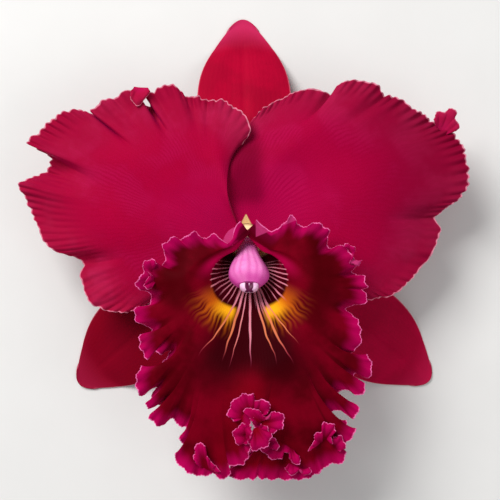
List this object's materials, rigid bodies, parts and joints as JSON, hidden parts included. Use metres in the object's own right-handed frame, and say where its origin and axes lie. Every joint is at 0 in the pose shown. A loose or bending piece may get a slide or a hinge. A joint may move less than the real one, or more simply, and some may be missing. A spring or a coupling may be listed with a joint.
{
  "type": "cattleya orchid bloom",
  "caption": "Picked cattleya orchid bloom: broad ruffled petals, pointed sepals and a frilled trumpet lip round a short column, lying face up on its sepal tips.",
  "frame": {"origin": "bottom centre of the bloom's bounding box, on the surface it lies on", "axes": "+Z out of the flower's face, +Y towards the tip of the dorsal sepal, +X across the petals"},
  "size_m": [0.169, 0.1754, 0.0543],
  "materials": {
    "sepal": "satin",
    "petal": "velvety",
    "lip": "velvety",
    "column": "waxy",
    "anther": "waxy",
    "stalk": "waxy"
  },
  "bodies": {
    "root": {"dorsal_sepal": "sepal", "lateral_sepal_left": "sepal", "lateral_sepal_right": "sepal", "petal_left": "petal", "petal_right": "petal", "lip": "lip", "column": "column", "anther_cap": "anther", "ovary_stalk": "stalk"}
  },
  "joints": []
}
